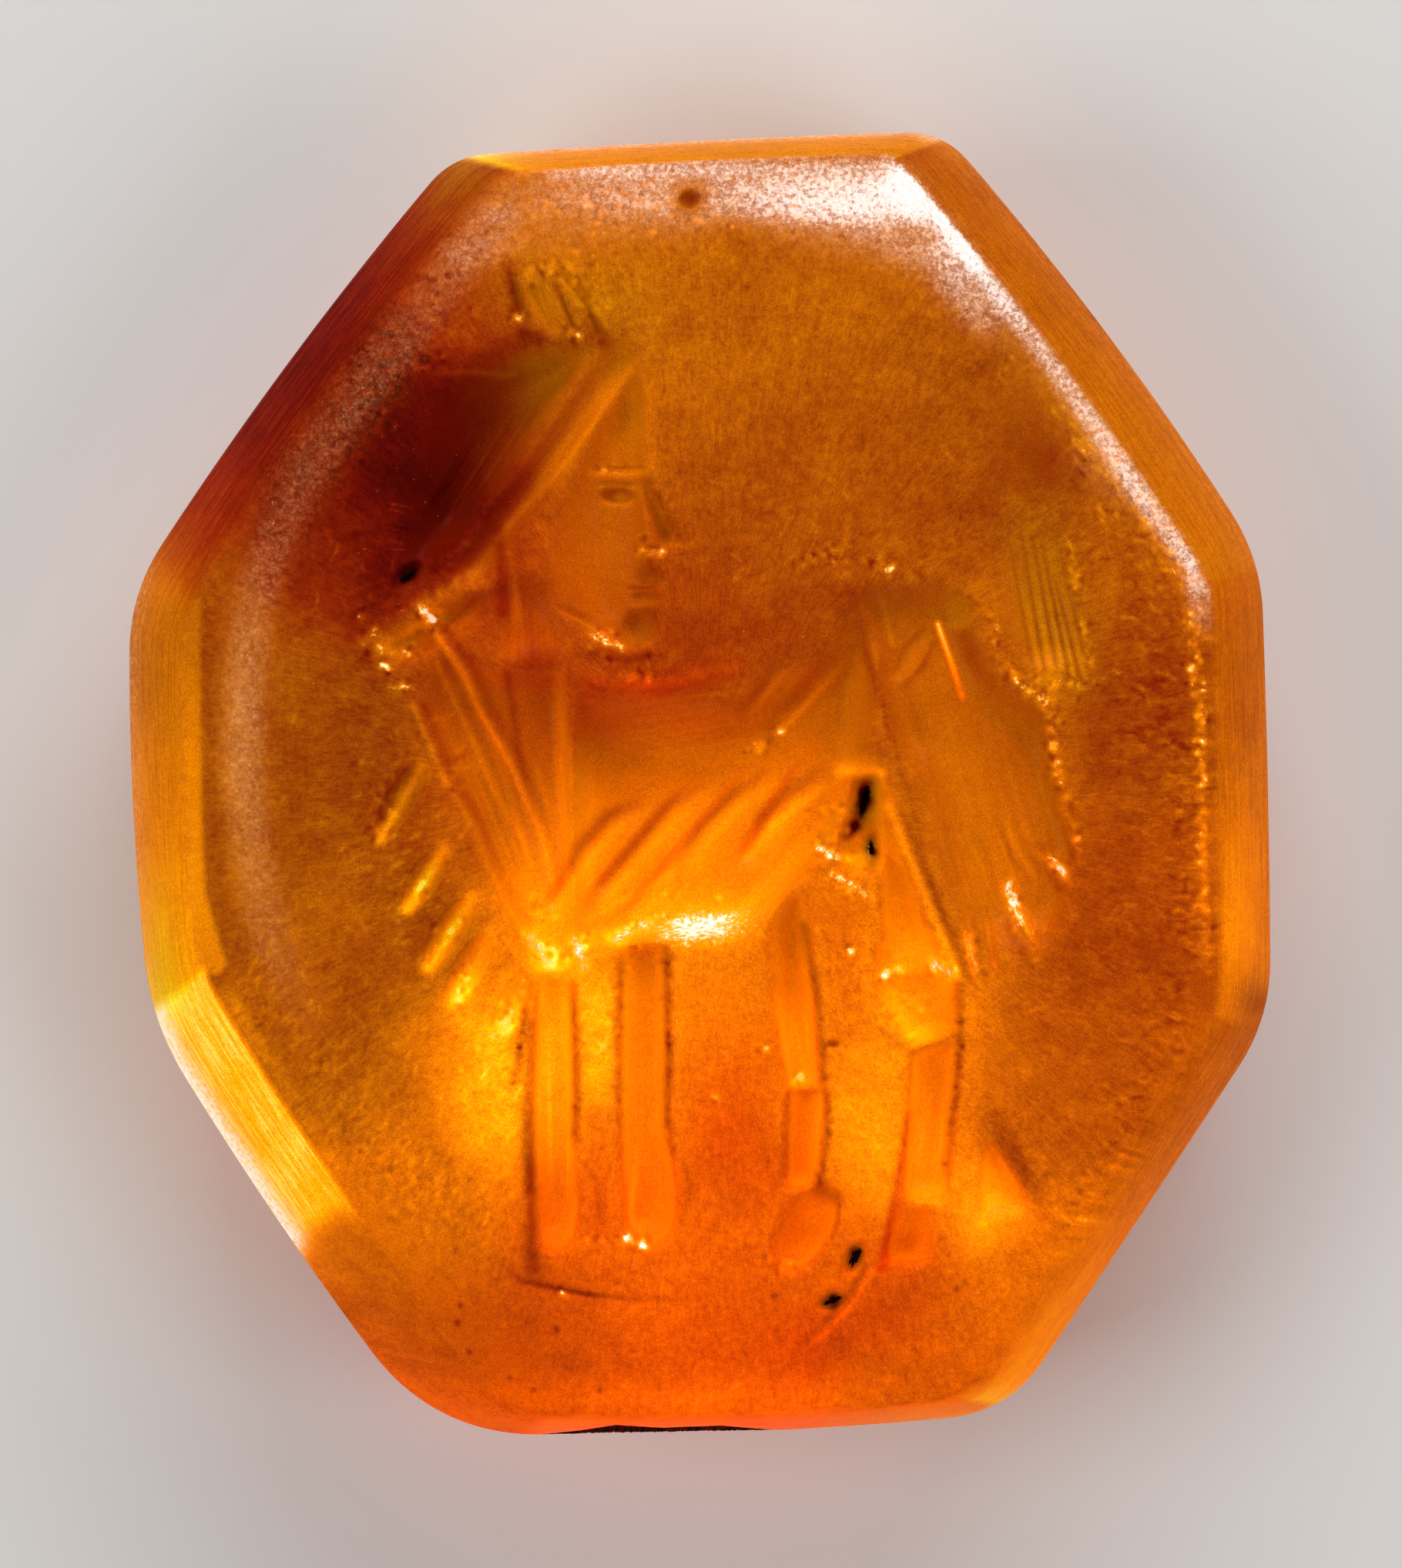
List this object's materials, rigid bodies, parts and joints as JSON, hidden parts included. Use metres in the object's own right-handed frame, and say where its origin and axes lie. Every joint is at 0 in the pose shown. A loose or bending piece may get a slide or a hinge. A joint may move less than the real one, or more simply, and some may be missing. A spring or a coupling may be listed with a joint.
{
  "type": "intaglio gem",
  "caption": "Octagonal translucent orange ring stone, bevelled and gently domed, with a standing winged beast cut into its face.",
  "frame": {"origin": "on the flat back, under the middle of the stone's outline", "axes": "+Z out of the engraved face, +Y towards the top of the figure, +X to the figure's right as the stone is looked at"},
  "size_m": [0.0148, 0.0169, 0.0046],
  "materials": {
    "carnelian": "translucent orange to maroon, wax-polished bevels, finely ground face",
    "pit_matter": "matt, crumbly",
    "edge_crust": "matt, rough"
  },
  "bodies": {
    "root": {"gem_stone": "carnelian", "shoulder_fill_upper": "pit_matter", "shoulder_fill_lower": "pit_matter", "hoof_fill_upper": "pit_matter", "hoof_fill_lower": "pit_matter", "nape_fill": "pit_matter", "edge_crust": "edge_crust"}
  },
  "joints": []
}
